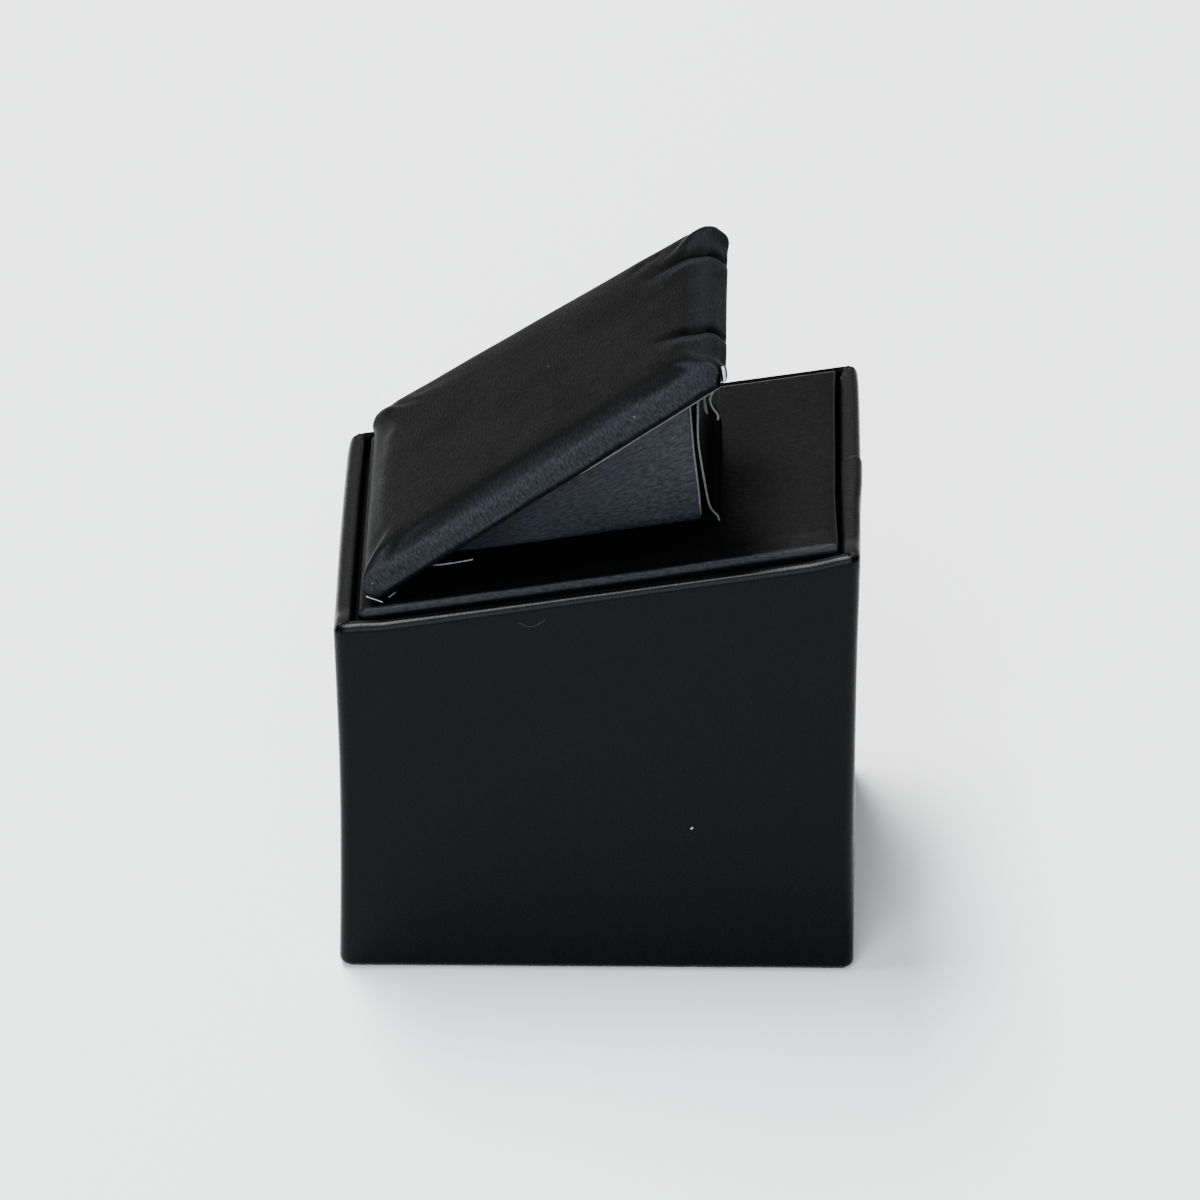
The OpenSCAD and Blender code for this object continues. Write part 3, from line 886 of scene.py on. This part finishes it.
def pleat_light_and_shade(point):
    """Painted highlight on the pleats' crests and painted shade in their valleys at a place on the
    pad, and painted shade in the groove that runs beside its far edge near the high end."""
    pale, dark = 0.0, 0.0
    for d, _, strength in pleats_at(*point):
        pale = max(pale, strength * bump(d - 0.7 * MM, 1.1 * MM))
        valley = ramp_up(-d, -0.1 * MM, 0.5 * MM) * (1 - ramp_up(-d, 1.2 * MM, 3.6 * MM))
        dark = max(dark, strength * valley)
    side_way = pad_half_width(point[1]) - abs(point[0])
    if point[0] < 0:
        groove = bump(side_way - 2.2 * MM, 2.4 * MM) * bump(PAD_LENGTH - point[1] - 9 * MM, 8 * MM)
        dark = max(dark, 0.7 * groove)
    return pale, dark


def pad_details(points):
    """What the leatherette does after the foam has swelled: pleats at the high edge, a fuller
    far side, folded corners that stick out, a slit near one and a slack surface."""
    for p in points:
        x, along, up = p
        top = ramp_up(up, PAD_T * 0.3, PAD_T * 0.8)
        from_end = PAD_LENGTH - along
        side_way = pad_half_width(along) - abs(x)
        for d, back, strength in pleats_at(x, along, up):
            height = pleat_height(d, back, strength)
            p[2] += height * top
            p[1] += height * 1.7 * (1 - ramp_up(from_end, 0, 2.2 * MM))
        p[2] += top * 0.06 * MM * wander((x, along, 0), 7 * MM, 41)
        middle = sin(pi * min(max(along / PAD_LENGTH, 0), 1))
        p[2] -= top * 0.4 * MM * middle * bump(side_way, 5 * MM) * (x > 0)
        end_way = min(along, from_end)
        far_side = bump(side_way, 4.5 * MM) * (1 - 0.75 * bump(end_way, 5 * MM)) * (x < 0)
        p[0] -= 0.8 * MM * far_side
        p[2] += 0.6 * MM * top * far_side
        near_low = x > 0 and along < PAD_LENGTH / 2
        reach, out = (4.2 * MM, 0.6 * MM) if near_low else (3.6 * MM, 0.5 * MM)
        corner = bump(side_way, reach) * bump(end_way, reach) * out
        p[0] += copysign(corner, x)
        p[1] += copysign(corner * (0.4 if near_low else 1.2), along - PAD_LENGTH / 2)
        p[1] -= 0.3 * MM * bump(along, 3 * MM)
        near_side = bump(side_way, 2.0 * MM) * (x > 0)
        slit = bump(from_end - 1.2 * MM - 0.16 * (PAD_T - up), 0.7 * MM)
        p[0] -= 0.75 * MM * slit * bump(up - 0.5 * PAD_T, 0.5 * PAD_T) * near_side
        p[0] += 0.08 * MM * wander((x, along, up), 4 * MM, 43) * bump(side_way, 3 * MM)
    return points


def fitted(points):
    """The swelled pad brought back to its width, length and height."""
    low, high = points[:, 1].min(), points[:, 1].max()
    middle = points[np.abs(points[:, 1] - (low + high) / 2) < 1 * MM, 0].max()
    wide = pad_half_width(PAD_LENGTH / 2) / middle
    size = [wide, PAD_LENGTH / (high - low), PAD_T / points[:, 2].max()]
    return (points - [0, low, 0]) * size


def display_pad():
    """The padded leatherette on the ramp: a tapered block that swells, then its folds."""
    shrink = 0.3 * MM
    low_w, high_w = (2 * (pad_half_width(along) - shrink) for along in (0, PAD_LENGTH))
    length, height = PAD_LENGTH - 2 * shrink, PAD_T - shrink
    points, faces = round_block(low_w, high_w, length, height, PAD_R, 0.9 * MM)
    points, faces = puff(points, faces, 0.6 * MM, 4.0, 0.5 * MM, 0.5)
    points = fitted(points)
    obj = piece("display_pad", points, faces, PAD_SKIN)
    only(obj)
    finer = obj.modifiers.new("finer", "SUBSURF")
    finer.levels = finer.render_levels = 1
    bpy.ops.object.modifier_apply(modifier="finer")
    points = pad_details(np.array([v.co for v in obj.data.vertices]))
    world = untilted(points + np.array([0, PAD_LOW[1], PAD_LOW[2]]), PAD_TILT)
    obj.data.vertices.foreach_set("co", world.ravel())
    obj.data.update()
    lay_grain(obj, PAD_TILT, turn=False, centre=(PAD_LOW[1] + PAD_HIGH[1]) / 2)
    tones = [pleat_light_and_shade(p) for p in points]

    def painted_highlight(p, n, crest):
        """How much painted highlight the skin gets at a point: over the side edges and on the crests."""
        side = ramp_up(n[0] if p[0] > 0 else -0.7 * n[0], 0.3, 0.65)
        edge = max(side, 0.25 * ramp_up(n[1], 0.15, 0.5))
        return max(edge * ramp_up(n[2], -0.45, 0.2), 0.5 * crest)

    pale, dark = zip(*tones)
    # Painted highlight over the side edges and on the pleats' crests
    highlit = [painted_highlight(*v) for v in zip(points, normals_of(obj, PAD_TILT), pale)]
    lay_shares(obj, "painted_highlight", highlit)
    # Painted shade in the pleats' valleys and the groove by the far edge
    lay_shares(obj, "painted_shade", dark)
    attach(obj, "insert")
    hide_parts("pad_wrap", "pad_foam")
    return obj


# How far the sheet under the pad stands back from its edges on the lower half
SHEET_SHY = 1.2 * MM


def pad_sheet():
    """The thin sheet glued under the pad, with a pale cut edge."""
    low, high = PAD_SHEET.min(0), PAD_SHEET.max(0)
    corners = [(-1, 0), (1, 0), (1, 1), (-1, 1)]
    inset = low[1] - PAD_LOW[1]
    ring = []
    for (sx, sy), (nx, ny) in zip(corners, corners[1:] + corners[:1]):
        for t in np.linspace(0, 1, 24, endpoint=False):
            x_side, at = sx + (nx - sx) * t, sy + (ny - sy) * t
            along = low[1] + at * (high[1] - low[1])
            loose = 0.1 * MM * wander((x_side * 0.02, along, 0), 7 * MM, 51)
            half = pad_half_width(along - PAD_LOW[1]) - inset + loose
            half -= SHEET_SHY * (1 - ramp_up(at, 0.5, 0.6))
            ring.append((x_side * half, along))
    lower = [(x, a, low[2]) for x, a in ring]
    upper = [(x, a, high[2] + 0.02 * MM) for x, a in ring]
    verts, faces = capped_tube([lower, upper])
    obj = piece("pad_sheet", untilted(verts, PAD_TILT), faces, BLACK_CARD, CUT_EDGE)
    for polygon in obj.data.polygons:
        polygon.use_smooth = False
        polygon.material_index = 1 if len(polygon.vertices) == 4 else 0
    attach(obj, "insert")
    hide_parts("pad_backing")
    return obj


# -------- small folded edges


def flake(name, points, width_way, width, thick, material, body="insert"):
    """A short piece of folded or cut leatherette edge along a path, which bends with it."""
    path = np.array(points, float)
    way = np.gradient(path, axis=0)
    across = np.array(width_way, float)
    rows = []
    for p, w in zip(path, way):
        w = w / np.linalg.norm(w)
        side = across - w * (across @ w)
        side /= np.linalg.norm(side)
        up = np.cross(w, side)
        ring = []
        for a in np.linspace(0, 360, 10, endpoint=False):
            a = radians(a)
            ring.append(p + side * width / 2 * cos(a) + up * thick / 2 * sin(a))
        rows.append(ring)
    obj = ringed(name, rows, True, material)
    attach(obj, body)
    return obj


def pad_point(x, along, up):
    """A place on the pad, measured from the middle of its low edge, in the row frame."""
    return untilted(np.array([[x, PAD_LOW[1] + along, PAD_LOW[2] + up]]), PAD_TILT)[0]


def laid_on(obj, points):
    """Points brought down onto a piece, along the slope of 30 degrees that faces its near side."""
    bpy.context.view_layer.update()
    slope = Vector((cos(radians(30)), 0, sin(radians(30))))
    laid = []
    for p in points:
        hit, place, normal, _ = obj.ray_cast(Vector(p) + slope * 8 * MM, -slope, distance=14 * MM)
        if not hit:
            _, place, normal, _ = obj.closest_point_on_mesh(Vector(p))
        laid.append(place + normal * 0.04 * MM)
    return laid


def pad_folds(pad):
    """The pale cut fold at the pad's near high corner, a black strip in the slit beside it as painted
    shade, and the folds that are tucked in at its near low corner."""
    foot = pad_point(pad_half_width(PAD_LENGTH) + 0.8 * MM, PAD_LENGTH, 0) + np.array([0, 0, 0.35]) * MM
    rise = ((-1.25, 0.0), (-1.12, 0.6), (-1.05, 1.2), (-1.1, 1.9), (-1.3, 2.7))
    fold = [foot + np.array([0, dy, dz]) * MM for dy, dz in rise]
    slit = [p + np.array([-0.1, -0.55, 0.1]) * MM for p in fold]
    flake("pad_high_fold", laid_on(pad, fold), (0, 1, 0), 0.45 * MM, 0.2 * MM, PALE_EDGE)
    # A thin black strip laid in the slit: painted shade
    flake("pad_high_slit_shade", laid_on(pad, slit), (0, 1, 0), 0.45 * MM, 0.14 * MM, STRAP_SKIN)
    corner = np.array([pad_half_width(0), PAD_LOW_Y, insert_z(PAD_LOW_Y)])
    rise = [(-0.35 + 0.5 * t, 0.75 + 2.0 * t, 1.05 - 0.5 * t) for t in np.linspace(0, 1, 6)]
    low = [corner + np.array(d) * MM for d in rise]
    flake("pad_low_fold", low, (0, 0, 1), 0.15 * MM, 0.12 * MM, PALE_EDGE)
    rise = [(-0.2 - 0.9 * t, 3.5 + 0.8 * t, 1.05 + 0.2 * t) for t in np.linspace(0, 1, 5)]
    tuck = [corner + np.array(d) * MM for d in rise]
    flake("pad_low_tuck", tuck, (0, 0, 1), 0.2 * MM, 0.2 * MM, CUT_EDGE)


def ramp_fold():
    """The cut edge of the ramp's covering, up its near back corner."""
    corner = []
    for t in np.linspace(0.04, 0.95, 12):
        y = RAMP_HIGH.y - RAMP_LEAN * t
        z = insert_z(y) + t * (backing_z(y) - insert_z(y))
        corner.append((RAMP_HIGH.x + 0.06 * MM, y - 0.1 * MM + 0.05 * MM * sin(9 * t), z))
    flake("ramp_fold", corner, (0, 1, 0), 0.26 * MM, 0.16 * MM, CUT_EDGE)


def loose_bits():
    """A loose thread and a bit of lint on the box's near face."""
    thread = []
    for t in np.linspace(0, 1, 12):
        y, z = -9.4 + 3.3 * t, 49.7 - 0.8 * sin(pi * t) + 0.5 * t
        thread.append((HALF_W + 0.05 * MM, y * MM, z * MM))
    flake("thread", thread, (0, 0, 1), 0.07 * MM, 0.07 * MM, BLACK_CARD, "box")
    lint = [(HALF_W + 0.02 * MM, (11.5 + 0.3 * t) * MM, (20.6 + 0.2 * t) * MM) for t in (0, 0.5, 1)]
    flake("lint", lint, (0, 0, 1), 0.24 * MM, 0.18 * MM, PALE_EDGE, "box")


def strap_tab():
    """The pale cut corner of the strap, under the pad."""
    x, y = STRAP_HIGH.x - 0.6 * MM, RAMP_HIGH.y
    z = backing_z(y)
    tab = [(x, y + (0.55 * t - 0.1) * MM, z - (0.6 + 3.6 * t) * MM) for t in np.linspace(0, 1, 6)]
    flake("strap_tab", tab, (1, 0.4, 0), 1.2 * MM, 0.2 * MM, STRAP_EDGE)


def ramp_feet():
    """The ramp covering's foot, pressed out flat on the insert at each side, with a cut edge."""
    for name, side, length in (("right", 1, 1.0), ("left", -1, 0.8)):
        rows = []
        span = (FLANGE_TO - FLANGE_FROM) * length
        for t in np.linspace(0, 1, 9):
            y = FLANGE_FROM + span * t
            frayed = wander((y, side, 0), 1.2 * MM, 61) - abs(2 * t - 1) ** 6
            out = FLANGE_OUT + 0.12 * MM * frayed
            inner = RAMP_HIGH.x - 0.3 * MM
            z = insert_z(y) + 0.03 * MM
            lift = 0.1 * MM + 0.08 * MM * wander((y, 0, side), 1.5 * MM, 63)
            section = ((inner, 0), (out, lift), (out, lift + 0.22 * MM), (inner, 0.3 * MM))
            rows.append([(side * x, y, z + up) for x, up in section])
        obj = ringed(f"ramp_foot_{name}", rows, True, INSERT_SKIN, PALE_EDGE)
        for polygon in obj.data.polygons:
            polygon.use_smooth = False
            if {v % 4 for v in polygon.vertices} == {1, 2}:
                polygon.material_index = 1
        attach(obj, "insert")


# -------- the CAD nodes that stay

BOARDS = ("base_board", "front_wall", "back_wall", "left_wall", "right_wall", "insert_board", "pad_board")
FINISHES = (
    (GREYBOARD, BOARDS),
    # The collars' black card is darkened as painted shade
    (SHADED_COLLAR_CARD, ("front_collar", "back_collar", "left_collar", "right_collar")),
    (BLACK_CARD, ("bottom_cover", "insert_backing")),
    (TAPE, ("corner_stays",)),
    (FELT, ("floor_felt",)),
    (WOOD, ("ramp_core",)),
)


def finish_nodes():
    """Gives each CAD node that still shows its own finish."""
    for material, names in FINISHES:
        for name in names:
            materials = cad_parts[name].data.materials
            materials.clear()
            materials.append(material)


# -------- camera, floor and light

SENSOR, LENS = 36.0, 309.9
CAMERA_UP = radians(30.11)
CAMERA_SWING = radians(-1.0787)
CAMERA_ROLL = radians(-0.18)
CAMERA_DISTANCE = 1277.37 * MM
CAMERA_AIM = Vector((0, 20.825 * MM, 38.571 * MM))
LIGHT_AIM = Vector((0, 0, 45 * MM))
FLOOR_HALF = 4
FLOOR_TONE, FLOOR_ROUGH, FLOOR_SHEEN = grey(0.86), 0.9, 0.1
SKY_TONE, SKY_STRENGTH = (1, 1, 1, 1), 0.2


def camera():
    """A long lens at the photo's angle, square to the near wall but for a small swing."""
    back = Vector((cos(CAMERA_UP), 0, sin(CAMERA_UP)))
    c, s = cos(CAMERA_SWING), sin(CAMERA_SWING)
    forward = Vector((-c * cos(CAMERA_UP), s * cos(CAMERA_UP), -sin(CAMERA_UP)))
    right = Vector((s, c, 0))
    up = right.cross(forward)
    rolled = right * cos(CAMERA_ROLL) + up * sin(CAMERA_ROLL)
    upright = up * cos(CAMERA_ROLL) - right * sin(CAMERA_ROLL)
    data = bpy.data.cameras.new("camera")
    data.sensor_width, data.lens = SENSOR, LENS
    data.clip_start, data.clip_end = 0.05, 20
    obj = bpy.data.objects.new("camera", data)
    obj.matrix_world = Matrix((rolled, upright, -forward)).transposed().to_4x4()
    obj.location = back * CAMERA_DISTANCE + CAMERA_AIM
    bpy.context.scene.collection.objects.link(obj)
    bpy.context.scene.camera = obj


def softbox(name, azimuth, height, distance, size, radiance, colour=(1, 1, 1), turn=False):
    """A softbox that looks at the box from an azimuth and a height in degrees, both as seen
    from the box: azimuth 0 is +X and 90 is +Y. radiance is how bright its face is. With turn
    its first side lies along X, as for a strip overhead."""
    a, h = radians(azimuth), radians(height)
    way = Vector((cos(a) * cos(h), sin(a) * cos(h), sin(h)))
    data = bpy.data.lights.new(name, "AREA")
    data.shape, data.size, data.size_y = "RECTANGLE", size[0], size[1]
    data.energy, data.color = radiance * pi * size[0] * size[1], colour
    obj = bpy.data.objects.new(name, data)
    obj.location = LIGHT_AIM + way * distance
    obj.rotation_euler = (-way).to_track_quat("-Z", "Y").to_euler()
    if turn:
        along = (Vector((1, 0, 0)) - way * way.x).normalized()
        obj.rotation_euler = Matrix((along, way.cross(along), way)).transposed().to_euler()
    bpy.context.scene.collection.objects.link(obj)


def floor_and_world():
    """A plain pale floor, and a soft white light from all round."""
    mesh = bpy.data.meshes.new("floor")
    corners = [(x * FLOOR_HALF, y * FLOOR_HALF, 0) for x, y in ((-1, -1), (1, -1), (1, 1), (-1, 1))]
    mesh.from_pydata(corners, [], [(0, 1, 2, 3)])
    floor = bpy.data.objects.new("floor", mesh)
    mesh.materials.append(Shade("floor").surface(FLOOR_TONE, FLOOR_ROUGH, FLOOR_SHEEN))
    bpy.context.scene.collection.objects.link(floor)
    world = bpy.data.worlds.new("studio")
    world.use_nodes = True
    sky = world.node_tree.nodes["Background"]
    sky.inputs["Color"].default_value = SKY_TONE
    sky.inputs["Strength"].default_value = SKY_STRENGTH
    bpy.context.scene.world = world


# -------- the scene

camera()
floor_and_world()
softbox("overhead", 216, 67, 1.0, (0.9, 0.3), 43.0, turn=True)
softbox("front_high", -12, 50, 1.1, (0.6, 0.6), 8.0, (0.86, 0.93, 1.0))
softbox("front_low", -8, 25, 1.1, (0.9, 0.5), 9.8, (0.8, 0.9, 1.0))
softbox("back_low", 180, 9, 1.3, (2.2, 0.35), 1.2)
softbox("backdrop", 180, 30, 1.2, (1.5, 0.5), 0.6)

box_wrap()
insert_pad()
ramp_cover()
ramp_feet()
ramp_strap()
pad_folds(display_pad())
ramp_fold()
loose_bits()
strap_tab()
pad_sheet()
finish_nodes()
